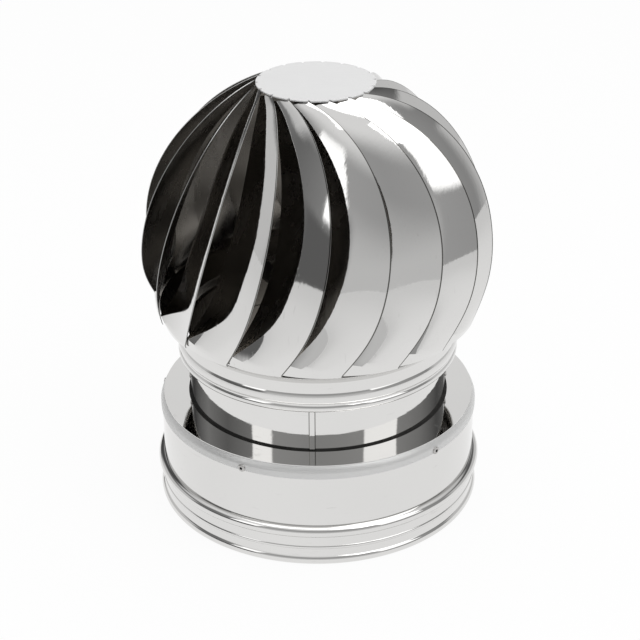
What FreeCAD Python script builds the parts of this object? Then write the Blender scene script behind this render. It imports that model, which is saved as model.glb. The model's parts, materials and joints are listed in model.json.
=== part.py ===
import FreeCAD, Part
import Sketcher
import math
import os
import re

# Rotating chimney cowl: a globe of slanted blades that spins on a fixed twin-wall base.
# Millimetres, +Z up, origin at the centre of the bottom edge, the viewer stands on the -Y side.

doc = FreeCAD.newDocument("rotating_chimney_cowl")
sheet = doc.addObject("Spreadsheet::Sheet", "Sizes")

SIZES = [
    ("sheet_gauge", 0.6, "wall of every spun sheet ring"),
    ("seat_gap", 0.05, "gap between sheets that are lapped or seated"),
    ("running_gap", 0.05, "radial gap of a running fit"),
    ("flue_radius", 100, "inner radius of the flue pipe"),
    ("twin_wall", 25, "from the bore of the flue to the outside of the drum wall"),
    ("drum_radius", "=flue_radius + twin_wall", "outer radius of the drum wall"),
    ("drum_height", 79, "top of the drum wall"),
    ("socket_step", 1.6, "how far the lower socket band stands out from the wall"),
    ("roll_height", 7, "height of the rolled bottom edge"),
    ("roll_bulge", 1.8, "how far the rolled bottom edge stands out"),
    ("ridge_base", 13.5, "lower side of the thin ridge round the socket band"),
    ("ridge_height", 2.8, "height of the thin ridge"),
    ("ridge_bulge", 0.7, "how far the thin ridge stands out"),
    ("socket_depth", 24, "depth of the outer socket, up to the drum bead"),
    ("drum_bead_height", 9, "height of the drum bead"),
    ("drum_bead_bulge", 4, "how far the drum bead stands out"),
    ("rim_gauge", 0.8, "sheet of the rim ring"),
    ("rim_lap", 4, "height that the rim ring laps over the wall"),
    ("rim_rise", 5.6, "height of the rim ring above the wall"),
    ("rim_taper", 3.2, "how far the rim leans in"),
    ("rim_rivet_count", 5, "rivets round the rim"),
    ("rim_rivet_turn", -27.1, "turn of the first rim rivet from the front"),
    ("rivet_radius", 1.6, "rivet shank"),
    ("rivet_head_radius", 3, "rivet head"),
    ("rivet_head_height", 1.1, "rivet head"),
    ("rivet_head_flat", 1, "radius of the flat on top of the head"),
    ("rivet_head_dome", 0.22, "bow of the head between its rim and its flat"),
    ("rivet_tail_radius", 2.4, "rivet set end"),
    ("rivet_tail_height", 0.9, "rivet set end"),
    ("pipe_base", 28, "lower end of the inner pipe"),
    ("pipe_top", 112, "upper end of the inner pipe"),
    ("stop_base", 74, "lower side of the stop bead in the inner pipe"),
    ("stop_height", 6, "height of the stop bead"),
    ("stop_depth", 1.5, "how far the stop bead stands in"),
    ("plate_reach", 0.55, "how far the top plate stands out past the lip of the rim"),
    ("plate_flange", 4, "flange of the top plate round the pipe"),
    ("sleeve_base", "=drum_height + rim_rise + sheet_gauge + 2 * seat_gap", "lower edge of the neck sleeve"),
    ("sleeve_roll_height", 4, "rolled upper edge of the neck sleeve"),
    ("sleeve_roll_bulge", 1.2, "how far that rolled edge stands out"),
    ("seam_width", 5, "lapped seam down the neck sleeve"),
    ("seam_turn", -4, "turn of the seam from the front"),
    ("floor_level", 36, "floor of the gap between drum and pipe"),
    ("floor_flange", 10, "flanges of the gap floor"),
    ("clip_level", 58, "web of the spacer clips"),
    ("clip_gauge", 1, "sheet of the spacer clips"),
    ("clip_flange", 12, "flanges of the spacer clips"),
    ("clip_angle", 9, "width of a clip as an angle"),
    ("clip_count", 3, "spacer clips"),
    ("bridge_top", 108, "upper face of the spindle bridge"),
    ("bridge_gauge", 3, "bar of the spindle bridge"),
    ("bridge_width", 24, "bar of the spindle bridge"),
    ("bridge_leg", 18, "turned down ends of the bridge"),
    ("bridge_rivet_drop", 10, "bridge rivets below its upper face"),
    ("bridge_rivet_offset", 7, "bridge rivets each side of the middle"),
    ("spindle_radius", 8, "spindle in the bush"),
    ("stud_radius", 6, "spindle ends, in the bridge and in the bearing"),
    ("stud_length", 26, "threaded lower end of the spindle"),
    ("spindle_chamfer", 1, "chamfers of the spindle"),
    ("washer_gauge", 1.5, "washers at the bridge"),
    ("washer_radius", 12, "washers at the bridge"),
    ("nut_flats", 19, "across the flats of the nuts"),
    ("nut_height", 8, "clamping nut"),
    ("lock_nut_height", 6, "lock nut"),
    ("stud_hole_gap", 0.2, "room round the stud in washers, nuts and bridge"),
    ("globe_radius", 135, "sphere that the outer blade edges lie on"),
    ("globe_level", 212, "centre of that sphere"),
    ("disc_gauge", 0.9, "top disc"),
    ("notch_width", 3.4, "notches in the edge of the disc"),
    ("notch_depth", 2.4, "notches in the edge of the disc"),
    ("blade_count", 18, "blades"),
    ("blade_gauge", 0.5, "blade sheet"),
    ("blade_turn", 8.2, "turn of the first blade's lower corner from the front"),
    ("blade_foot_level", 159.5, "lower edge of the blades"),
    ("blade_foot_height", 12, "foot at its high end"),
    ("blade_foot_heel", 1.5, "foot at its low end"),
    ("blade_top_radius", 43.2, "upper ends of the blades"),
    ("blade_top_turn", -15, "upper corner of a blade from its lower corner"),
    ("blade_bow_level", 280, "height where a blade's outer edge leads most"),
    ("blade_bow_turn", 16.5, "turn of the outer edge there"),
    ("blade_width", 54, "blade at mid length"),
    ("blade_tilt", 66, "slant of the blade from the globe at mid length"),
    ("blade_tilt_ease", 0.5, "power of the slant's rise from the ends: less is sooner"),
    ("blade_lap", 0.7, "lap of each blade under the next, as an angle"),
    ("blade_recess", 1.6, "how far the lapped edge lies inside"),
    ("blade_camber", 1.2, "bow across the blade at mid length"),
    ("disc_lip", 1.4, "top disc past the upper ends of the blades"),
    ("disc_radius", "=blade_top_radius + disc_lip", "top disc"),
    ("bearing_drop", 22, "lower face of the ball bearing under the top disc"),
    ("bearing_level", "=globe_level + sqrt(globe_radius^2 - blade_top_radius^2) + 2 * seat_gap - bearing_drop",
     "lower face of the ball bearing"),
    ("bearing_width", 8, "ball bearing"),
    ("bearing_radius", 14, "ball bearing, outside"),
    ("ball_radius", 2.38, "bearing balls"),
    ("ball_circle", 10, "radius of the circle of balls"),
    ("ball_count", 7, "bearing balls"),
    ("race_half", 2, "half the width of the ball grooves"),
    ("race_land", 1.6, "from the ball circle to the face of each ring"),
    ("clip_ring_gauge", 1, "snap rings"),
    ("clip_ring_depth", 0.8, "depth of the snap ring grooves"),
    ("clip_ring_reach", 1.8, "how far the snap rings stand out of their grooves"),
    ("clip_ring_angle", 330, "how far round the snap rings go"),
    ("stud_top_length", 13, "spindle above its shoulder"),
    ("housing_wall", 2.4, "bearing housing"),
    ("housing_fillet", 0.6, "hollow under the housing flange"),
    ("housing_shoulder", 1.4, "step above the bearing in its housing"),
    ("housing_drop", 4, "housing below the bearing"),
    ("housing_flange", 32, "radius of the housing flange"),
    ("housing_flange_gauge", 2, "flange of the bearing housing"),
    ("collar_radius", 109, "outer radius of the rotor collar"),
    ("flare_height", 12.45, "height of the collar's flare, up to its seat"),
    ("flare_gauge", 0.85, "level thickness of the flared sheet"),
    ("flare_base", "=blade_foot_level - seat_gap - flare_height", "where the collar starts to flare"),
    ("collar_band", 9, "plain band of the collar between its bead and its flare"),
    ("collar_bead_height", 9, "height of the collar bead"),
    ("collar_bead_bulge", 1.4, "how far the collar bead stands out"),
    ("collar_bead_base", "=flare_base - collar_band - collar_bead_height", "lower side of the collar bead"),
    ("collar_roll_gap", 1.2, "from the rolled edge of the collar up to its bead"),
    ("collar_roll_height", 5.2, "rolled lower edge of the collar"),
    ("collar_roll_bulge", 1.1, "how far that edge stands out"),
    ("collar_base", "=collar_bead_base - collar_roll_gap - collar_roll_height", "lower edge of the rotor collar"),
    ("seat_height", 3, "collar seat under the blade feet"),
    ("seat_room", 0.5, "room between that seat and the feet"),
    ("spider_rise", 3, "lower face of the spider above the start of the flare"),
    ("spider_level", "=flare_base + spider_rise", "lower face of the spider"),
    ("spider_gauge", 2, "spider sheet"),
    ("spider_hub_radius", 24, "spider hub"),
    ("spider_arm_width", 18, "spider arms"),
    ("spider_tab", 16, "turned down ends of the spider arms"),
    ("spider_arm_count", 3, "spider arms"),
    ("bush_wall", 3, "bush on the spindle"),
    ("bush_length", 14, "bush on the spindle"),
    ("bush_flange", 3.5, "flange of the bush"),
    ("bush_flange_gauge", 2, "flange of the bush"),
    ("sleeve_room", 4, "room between the neck sleeve and the spider"),
    ("sleeve_top", "=spider_level - sleeve_room", "upper edge of the neck sleeve"),
]


def fill_sheet():
    for row, (alias, number, note) in enumerate(SIZES, start=1):
        sheet.set("A%d" % row, note)
        sheet.set("B%d" % row, str(number))
        sheet.setAlias("B%d" % row, alias)
    doc.recompute()


def size(alias):
    return float(sheet.get(alias))


def bound(text):
    # Puts the sheet's name before each alias, so that formulas read as plain words.
    aliases = {alias for alias, number, note in SIZES}

    def named(match):
        word = match.group()
        return "Sizes." + word if word in aliases else word

    return re.sub("[a-z_]+", named, text)


def number_of(text):
    return float(sheet.evalExpression(bound(text)))


def origin_feature(body, role):
    return [feature for feature in body.Origin.OriginFeatures if feature.Role == role][0]


def section_sketch(body, name, plane="XZ_Plane"):
    sketch = body.newObject("Sketcher::SketchObject", name)
    sketch.AttachmentSupport = (origin_feature(body, plane), [""])
    sketch.MapMode = "FlatFace"
    return sketch


def bind_constraint(sketch, constraint, name, text):
    index = sketch.addConstraint(constraint)
    sketch.renameConstraint(index, name)
    sketch.setExpression("Constraints." + name, bound(text))


def draw_loop(sketch, loop):
    # Each corner is (across, up) or (across, up, bulge): the stretch that leaves it then is an
    # arc that stands out by the bulge, to the right of the way along for "+", left for "-".
    points = [FreeCAD.Vector(number_of(c[0]), number_of(c[1]), 0) for c in loop]
    ends = []
    for i, corner in enumerate(loop):
        start = points[i]
        stop = points[(i + 1) % len(loop)]
        if len(corner) == 2:
            sketch.addGeometry(Part.LineSegment(start, stop))
            ends.append((1, 2))
            continue
        side = 1 if corner[2][0] == "+" else -1
        along = (stop - start).normalize()
        middle = (start + stop) * 0.5
        middle += FreeCAD.Vector(along.y, -along.x, 0) * (side * number_of(corner[2][1:]))
        arc = Part.Arc(start, middle, stop)
        if side < 0:
            arc = Part.Arc(stop, middle, start)
        sketch.addGeometry(arc)
        ends.append((1, 2) if side > 0 else (2, 1))
    for i, corner in enumerate(loop):
        after = (i + 1) % len(loop)
        sketch.addConstraint(Sketcher.Constraint("Coincident", i, ends[i][1], after, ends[after][0]))
        across = Sketcher.Constraint("DistanceX", -1, 1, i, ends[i][0], points[i].x)
        bind_constraint(sketch, across, "across%d" % i, corner[0])
        up = Sketcher.Constraint("DistanceY", -1, 1, i, ends[i][0], points[i].y)
        bind_constraint(sketch, up, "up%d" % i, corner[1])
        if len(corner) == 3:
            following = loop[after]
            words = (following[0], corner[0], following[1], corner[1], corner[2][1:], corner[2][1:])
            text = "(((%s) - (%s))^2 + ((%s) - (%s))^2) / (8 * (%s)) + (%s) / 2" % words
            radius = Sketcher.Constraint("Radius", i, number_of(text))
            bind_constraint(sketch, radius, "radius%d" % i, text)


def new_body(name):
    body = doc.addObject("PartDesign::Body", name)
    body.Label = name
    body.AllowCompound = True
    return body


def turned(name, loop, angle="360", turn=None):
    # A section in the radius and height plane, turned about the upright axis.
    body = new_body(name)
    sketch = section_sketch(body, name + "_section")
    draw_loop(sketch, loop)
    if turn is not None:
        sketch.AttachmentOffset = FreeCAD.Placement(FreeCAD.Vector(), FreeCAD.Rotation(0, 0, 0))
        sketch.setExpression("AttachmentOffset.Rotation.Axis.x", "0")
        sketch.setExpression("AttachmentOffset.Rotation.Axis.y", "1")
        sketch.setExpression("AttachmentOffset.Rotation.Axis.z", "0")
        sketch.setExpression("AttachmentOffset.Rotation.Angle", bound(turn))
    revolution = body.newObject("PartDesign::Revolution", name + "_turned")
    revolution.Profile = sketch
    revolution.ReferenceAxis = (sketch, ["V_Axis"])
    revolution.setExpression("Angle", bound(angle))
    doc.recompute()
    return body


def patterned(body, count):
    # Repeats the body's last feature round the upright axis.
    pattern = body.newObject("PartDesign::PolarPattern", body.Name + "_pattern")
    pattern.Originals = [body.Tip]
    pattern.Axis = (origin_feature(body, "Z_Axis"), [""])
    pattern.Angle = 360
    pattern.setExpression("Occurrences", bound(count))
    body.Tip = pattern
    doc.recompute()
    return body


def padded(body, name, loop, length, plane="XZ_Plane"):
    # A section padded to both sides of its plane.
    sketch = section_sketch(body, name + "_section", plane)
    draw_loop(sketch, loop)
    pad = body.newObject("PartDesign::Pad", name)
    pad.Profile = sketch
    pad.Midplane = True
    pad.setExpression("Length", bound(length))
    doc.recompute()
    return pad


def rod(name, radius, height):
    cylinder = doc.addObject("Part::Cylinder", name)
    cylinder.setExpression("Radius", bound(radius))
    cylinder.setExpression("Height", bound(height))
    return cylinder


def turn_about_axis(thing, text):
    # A turn about the upright axis, brought into half a turn either way.
    thing.setExpression("Placement.Rotation.Yaw", bound("mod(%s + 540; 360) - 180" % text))


def joined(kind, name, base, tool):
    result = doc.addObject(kind, name)
    result.Base = base
    result.Tool = tool
    result.Label = name
    doc.recompute()
    return result


def lay_out(name, pieces):
    group = doc.addObject("Part::Compound", name)
    group.Links = pieces
    group.Label = name
    doc.recompute()
    return group


# Values that several pieces share
SOCKET = "drum_radius + socket_step"
DRUM_INNER = "drum_radius - sheet_gauge"
PIPE_OUTER = "flue_radius + sheet_gauge"
SLEEVE_INNER = PIPE_OUTER + " + seat_gap"
SLEEVE_OUTER = SLEEVE_INNER + " + sheet_gauge"
RIM_INNER = "drum_radius + seat_gap"
RIM_OUTER = RIM_INNER + " + rim_gauge"
RIM_BASE = "drum_height - rim_lap"
RIM_LIP = RIM_OUTER + " - rim_taper"
RIM_TOP = "drum_height + rim_rise"
RIM_RIVET_LEVEL = "drum_height - rim_lap / 2"
BRIDGE_RIVET_LEVEL = "bridge_top - bridge_rivet_drop"
SHOULDER = "bridge_top + washer_gauge"
STUD_HOLE = "stud_radius + stud_hole_gap"
DISC_BASE = "globe_level + sqrt(globe_radius^2 - blade_top_radius^2) + 2 * seat_gap"
BEARING_TOP = "bearing_level + bearing_width"
COLLAR_INNER = "collar_radius - sheet_gauge"
SEAT_LEVEL = "blade_foot_level - seat_gap"
SPIDER_HOLE = "spindle_radius + running_gap + bush_wall + seat_gap"
THROUGH = "globe_level + globe_radius"
# Bridge rivets: which end of the bridge, which side of its middle
BRIDGE_RIVETS = [(1, 1), (1, -1), (-1, 1), (-1, -1)]


def base_shells():
    wall_foot = "socket_depth + drum_bead_height"
    socket_inner = SOCKET + " - sheet_gauge"
    ridge_top = "ridge_base + ridge_height"
    drum = turned("outer_drum_shell", [
        (SOCKET, "0", "+roll_bulge"),
        (SOCKET, "roll_height"),
        (SOCKET, "ridge_base", "+ridge_bulge"),
        (SOCKET, ridge_top),
        (SOCKET, "socket_depth", "+drum_bead_bulge"),
        ("drum_radius", wall_foot),
        ("drum_radius", "drum_height"),
        (DRUM_INNER, "drum_height"),
        (DRUM_INNER, wall_foot + " - sheet_gauge", "-drum_bead_bulge"),
        (socket_inner, "socket_depth + sheet_gauge"),
        (socket_inner, ridge_top + " - sheet_gauge", "-ridge_bulge"),
        (socket_inner, "ridge_base + sheet_gauge"),
        (socket_inner, "roll_height - sheet_gauge", "-roll_bulge"),
        (socket_inner, "sheet_gauge"),
    ])
    joined("Part::Cut", "outer_drum", drum, rivet_holes("drum_holes"))

    rim = turned("rim_ring_shell", [
        (RIM_OUTER, RIM_BASE),
        (RIM_OUTER, "drum_height + rim_gauge / 2", "+rim_gauge / 2"),
        (RIM_LIP, RIM_TOP),
        (RIM_LIP + " - rim_gauge", RIM_TOP + " - rim_gauge / 4"),
        (RIM_LIP + " - rim_gauge", RIM_TOP + " - rim_gauge"),
        (RIM_INNER, "drum_height + seat_gap"),
        (RIM_INNER, RIM_BASE),
    ])
    joined("Part::Cut", "rim_ring", rim, rivet_holes("rim_holes"))

    turned("inner_pipe_shell", [
        (PIPE_OUTER, "pipe_base"),
        (PIPE_OUTER, "stop_base", "-stop_depth"),
        (PIPE_OUTER, "stop_base + stop_height"),
        (PIPE_OUTER, "pipe_top"),
        ("flue_radius", "pipe_top"),
        ("flue_radius", "stop_base + stop_height + sheet_gauge", "+stop_depth"),
        ("flue_radius", "stop_base - sheet_gauge"),
        ("flue_radius", "pipe_base"),
    ])
    joined("Part::Cut", "inner_pipe", doc.inner_pipe_shell, bridge_holes("pipe_holes"))

    roll_base = "sleeve_top - sleeve_roll_height"
    sleeve = turned("neck_sleeve_shell", [
        (SLEEVE_OUTER, "sleeve_base"),
        (SLEEVE_OUTER, roll_base, "+sleeve_roll_bulge"),
        (SLEEVE_OUTER, "sleeve_top"),
        (SLEEVE_INNER, "sleeve_top - sheet_gauge", "-sleeve_roll_bulge"),
        (SLEEVE_INNER, roll_base + " + sheet_gauge"),
        (SLEEVE_INNER, "sleeve_base"),
    ])
    seam_angle = "seam_width / flue_radius * 180 / pi"
    seam = turned("neck_seam", [
        (SLEEVE_OUTER + " - seat_gap", "sleeve_base"),
        (SLEEVE_OUTER + " + sheet_gauge", "sleeve_base"),
        (SLEEVE_OUTER + " + sheet_gauge", roll_base),
        (SLEEVE_OUTER + " - seat_gap", roll_base),
    ], seam_angle, "seam_turn - 90")
    seamed = joined("Part::Fuse", "neck_sleeve_seamed", sleeve, seam)
    joined("Part::Cut", "neck_sleeve", seamed, bridge_holes("sleeve_holes"))


def gap_pieces():
    inner = SLEEVE_INNER
    outer = DRUM_INNER + " - seat_gap"
    floor_top = "floor_level + sheet_gauge"
    flange_top = "floor_level + floor_flange"
    turned("gap_floor_ring", [
        (inner, "floor_level"),
        (outer, "floor_level"),
        (outer, flange_top),
        (outer + " - sheet_gauge", flange_top),
        (outer + " - sheet_gauge", floor_top),
        (inner + " + sheet_gauge", floor_top),
        (inner + " + sheet_gauge", flange_top),
        (inner, flange_top),
    ])
    plate_base = RIM_TOP + " + seat_gap"
    plate_top = plate_base + " + sheet_gauge"
    plate_foot = plate_base + " - plate_flange"
    turned("top_plate", [
        (inner, plate_foot),
        (inner + " + sheet_gauge", plate_foot),
        (inner + " + sheet_gauge", plate_base),
        (RIM_LIP + " + plate_reach", plate_base),
        (RIM_LIP + " + plate_reach", plate_top),
        (inner, plate_top),
    ])
    web_top = "clip_level + clip_gauge"
    clip_top = "clip_level + clip_flange"
    clips = turned("spacer_clips", [
        (inner, "clip_level"),
        (outer, "clip_level"),
        (outer, clip_top),
        (outer + " - clip_gauge", clip_top),
        (outer + " - clip_gauge", web_top),
        (inner + " + clip_gauge", web_top),
        (inner + " + clip_gauge", clip_top),
        (inner, clip_top),
    ], "clip_angle")
    patterned(clips, "clip_count")


def rivet_holes(name):
    pieces = []
    for k in range(int(size("rim_rivet_count"))):
        turn = "rim_rivet_turn + %d * 360 / rim_rivet_count - 90" % k
        pieces.append(radial_rod("%s_%d" % (name, k + 1), "rivet_radius", RIM_OUTER + " + rivet_head_radius", turn,
                                 RIM_RIVET_LEVEL))
    return lay_out(name, pieces)


def radial_rod(name, radius, length, turn, level):
    # A rod that leaves the upright axis level, at the given turn.
    rod_piece = rod(name, radius, length)
    rod_piece.setExpression("Placement.Base.z", bound(level))
    turn_about_axis(rod_piece, turn)
    rod_piece.setExpression("Placement.Rotation.Pitch", "90")
    return rod_piece


def bridge_holes(name):
    pieces = []
    for k, (side, offset) in enumerate(BRIDGE_RIVETS, start=1):
        hole = rod("%s_%d" % (name, k), "rivet_radius", SLEEVE_OUTER + " + rivet_head_radius")
        hole.setExpression("Placement.Base.z", bound(BRIDGE_RIVET_LEVEL))
        hole.setExpression("Placement.Base.y", bound("%d * bridge_rivet_offset" % offset))
        hole.setExpression("Placement.Rotation.Pitch", bound("%d * 90" % side))
        pieces.append(hole)
    return lay_out(name, pieces)


def rivet(name, back, front):
    # A domed rivet along +Z: its set end at the back, its head at the front.
    return turned(name, [
        ("0", back + " - rivet_tail_height"),
        ("rivet_tail_radius", back + " - rivet_tail_height"),
        ("rivet_tail_radius", back),
        ("rivet_radius - seat_gap", back),
        ("rivet_radius - seat_gap", front),
        ("rivet_head_radius", front, "+rivet_head_dome"),
        ("rivet_head_flat", front + " + rivet_head_height"),
        ("0", front + " + rivet_head_height"),
    ])


def fasteners():
    rim_master = rivet("rim_rivet", DRUM_INNER + " - seat_gap", RIM_OUTER + " + seat_gap")
    pieces = []
    for k in range(int(size("rim_rivet_count"))):
        copy = doc.addObject("Part::Compound", "rim_rivet_%d" % (k + 1))
        copy.Links = [rim_master]
        copy.setExpression("Placement.Base.z", bound(RIM_RIVET_LEVEL))
        turn = "rim_rivet_turn + %d * 360 / rim_rivet_count - 90" % k
        turn_about_axis(copy, turn)
        copy.setExpression("Placement.Rotation.Pitch", "90")
        pieces.append(copy)
    lay_out("rim_rivets", pieces)

    reach = "sqrt((%s)^2 - (bridge_rivet_offset - rivet_head_radius)^2)"
    leg_face = "sqrt((flue_radius - seat_gap)^2 - (bridge_width / 2)^2) - bridge_gauge - seat_gap"
    bridge_master = rivet("bridge_rivet", leg_face, reach % SLEEVE_OUTER + " + seat_gap")
    pieces = []
    for k, (side, offset) in enumerate(BRIDGE_RIVETS, start=1):
        copy = doc.addObject("Part::Compound", "bridge_rivet_%d" % k)
        copy.Links = [bridge_master]
        copy.setExpression("Placement.Base.z", bound(BRIDGE_RIVET_LEVEL))
        copy.setExpression("Placement.Base.y", bound("%d * bridge_rivet_offset" % offset))
        copy.setExpression("Placement.Rotation.Pitch", bound("%d * 90" % side))
        pieces.append(copy)
    lay_out("bridge_rivets", pieces)


def spindle_group():
    leg_foot = "bridge_top - bridge_leg"
    bar_base = "bridge_top - bridge_gauge"
    leg = "sqrt((flue_radius - seat_gap)^2 - (bridge_width / 2)^2) - bridge_gauge"
    bar = new_body("bridge_bar")
    padded(bar, "bridge_bar_pad", [
        ("0 - flue_radius", bar_base),
        ("0 - flue_radius", leg_foot),
        ("0 - (%s)" % leg, leg_foot),
        ("0 - (%s)" % leg, bar_base),
        (leg, bar_base),
        (leg, leg_foot),
        ("flue_radius", leg_foot),
        ("flue_radius", "bridge_top"),
        ("0 - flue_radius", "bridge_top"),
    ], "bridge_width")
    envelope = rod("bridge_envelope", "flue_radius - seat_gap", THROUGH)
    curved = joined("Part::Common", "bridge_curved", bar, envelope)
    drilled = joined("Part::Cut", "bridge_drilled", curved, rod("bridge_hole", STUD_HOLE, THROUGH))
    joined("Part::Cut", "spindle_bridge", drilled, bridge_holes("bridge_leg_holes"))

    stud_foot = SHOULDER + " - stud_length"
    stud_top = "bearing_level + stud_top_length"
    groove = BEARING_TOP + " + seat_gap"
    groove_top = groove + " + clip_ring_gauge + 2 * seat_gap"
    turned("spindle", [
        ("0", stud_foot),
        ("stud_radius - spindle_chamfer", stud_foot),
        ("stud_radius", stud_foot + " + spindle_chamfer"),
        ("stud_radius", SHOULDER),
        ("spindle_radius", SHOULDER),
        ("spindle_radius", "bearing_level"),
        ("stud_radius", "bearing_level"),
        ("stud_radius", groove),
        ("stud_radius - clip_ring_depth", groove),
        ("stud_radius - clip_ring_depth", groove_top),
        ("stud_radius", groove_top),
        ("stud_radius", stud_top + " - spindle_chamfer"),
        ("stud_radius - spindle_chamfer", stud_top),
        ("0", stud_top),
    ])
    ring("upper_washer", STUD_HOLE, "washer_radius", "bridge_top", SHOULDER)
    lower_face = "bridge_top - bridge_gauge - washer_gauge"
    ring("lower_washer", STUD_HOLE, "washer_radius", lower_face, lower_face + " + washer_gauge")
    nut("clamping_nut", lower_face + " - nut_height", "nut_height")
    nut("lock_nut", lower_face + " - nut_height - lock_nut_height", "lock_nut_height")


def ring(name, inner, outer, bottom, top, angle="360"):
    return turned(name, [(inner, bottom), (outer, bottom), (outer, top), (inner, top)], angle)


def nut(name, bottom, height):
    prism = doc.addObject("Part::Prism", name + "_hexagon")
    prism.Polygon = 6
    prism.setExpression("Circumradius", bound("nut_flats / sqrt(3)"))
    prism.setExpression("Height", bound(height))
    prism.setExpression("Placement.Base.z", bound(bottom))
    hole = rod(name + "_hole", STUD_HOLE, THROUGH)
    return joined("Part::Cut", name, prism, hole)


def bearing():
    middle = "bearing_level + bearing_width / 2"
    low = middle + " - race_half"
    high = middle + " + race_half"
    land = "ball_circle - race_land"
    depth = "ball_radius + running_gap - race_land"
    turned("bearing_inner_ring", [
        ("stud_radius + seat_gap", "bearing_level"),
        (land, "bearing_level"),
        (land, low, "-" + depth),
        (land, high),
        (land, BEARING_TOP),
        ("stud_radius + seat_gap", BEARING_TOP),
    ])
    outer_land = "ball_circle + race_land"
    turned("bearing_outer_ring", [
        ("bearing_radius", "bearing_level"),
        ("bearing_radius", BEARING_TOP),
        (outer_land, BEARING_TOP),
        (outer_land, high, "-" + depth),
        (outer_land, low),
        (outer_land, "bearing_level"),
    ])
    balls = []
    for k in range(int(size("ball_count"))):
        ball = doc.addObject("Part::Sphere", "ball_%d" % (k + 1))
        ball.setExpression("Radius", bound("ball_radius"))
        turn = "%d * 360 / ball_count" % k
        ball.setExpression("Placement.Base.x", bound("ball_circle * cos(%s)" % turn))
        ball.setExpression("Placement.Base.y", bound("ball_circle * sin(%s)" % turn))
        ball.setExpression("Placement.Base.z", bound(middle))
        balls.append(ball)
    lay_out("bearing_balls", balls)

    ring("spindle_snap_ring", "stud_radius - clip_ring_depth + seat_gap",
         "stud_radius - clip_ring_depth + clip_ring_reach",
         BEARING_TOP + " + 2 * seat_gap", BEARING_TOP + " + 2 * seat_gap + clip_ring_gauge", "clip_ring_angle")
    bore = "bearing_radius + seat_gap"
    groove = "bearing_level - clip_ring_gauge - 3 * seat_gap"
    ring("housing_snap_ring", bore + " + clip_ring_depth - clip_ring_reach",
         bore + " + clip_ring_depth - seat_gap",
         groove + " + seat_gap", groove + " + seat_gap + clip_ring_gauge", "clip_ring_angle")
    outside = "bearing_radius + housing_wall"
    foot = "bearing_level - housing_drop"
    flange_base = DISC_BASE + " - housing_flange_gauge"
    disc_face = DISC_BASE + " - seat_gap"
    turned("bearing_housing", [
        (bore, foot),
        (outside, foot),
        (outside, flange_base + " - housing_wall", "-housing_fillet"),
        (outside + " + housing_wall", flange_base),
        ("housing_flange", flange_base),
        ("housing_flange", disc_face),
        (bore + " - housing_shoulder", disc_face),
        (bore + " - housing_shoulder", BEARING_TOP + " + seat_gap"),
        (bore, BEARING_TOP + " + seat_gap"),
        (bore, "bearing_level - seat_gap"),
        (bore + " + clip_ring_depth", "bearing_level - seat_gap"),
        (bore + " + clip_ring_depth", groove),
        (bore, groove),
    ])


def rotor_disc():
    disc = new_body("top_disc")
    plate = section_sketch(disc, "top_disc_outline", "XY_Plane")
    plate.addGeometry(Part.Circle(FreeCAD.Vector(), FreeCAD.Vector(0, 0, 1), size("disc_radius")))
    plate.addConstraint(Sketcher.Constraint("Coincident", 0, 3, -1, 1))
    radius = Sketcher.Constraint("Radius", 0, size("disc_radius"))
    bind_constraint(plate, radius, "disc_radius", "disc_radius")
    plate.setExpression("AttachmentOffset.Base.z", bound(DISC_BASE))
    pad = disc.newObject("PartDesign::Pad", "top_disc_plate")
    pad.Profile = plate
    pad.setExpression("Length", bound("disc_gauge"))
    doc.recompute()

    notch = section_sketch(disc, "top_disc_notch", "XY_Plane")
    notch.setExpression("AttachmentOffset.Base.z", bound(DISC_BASE))
    draw_loop(notch, [
        ("disc_radius - notch_depth", "0"),
        ("disc_radius + notch_depth", "0 - notch_width"),
        ("disc_radius + notch_depth", "notch_width"),
    ])
    pocket = disc.newObject("PartDesign::Pocket", "top_disc_cut")
    pocket.Profile = notch
    pocket.Type = "ThroughAll"
    pocket.Midplane = True
    doc.recompute()
    patterned(disc, "blade_count")
    turn_about_axis(disc, "blade_turn + blade_top_turn - 90")
    doc.recompute()


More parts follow.
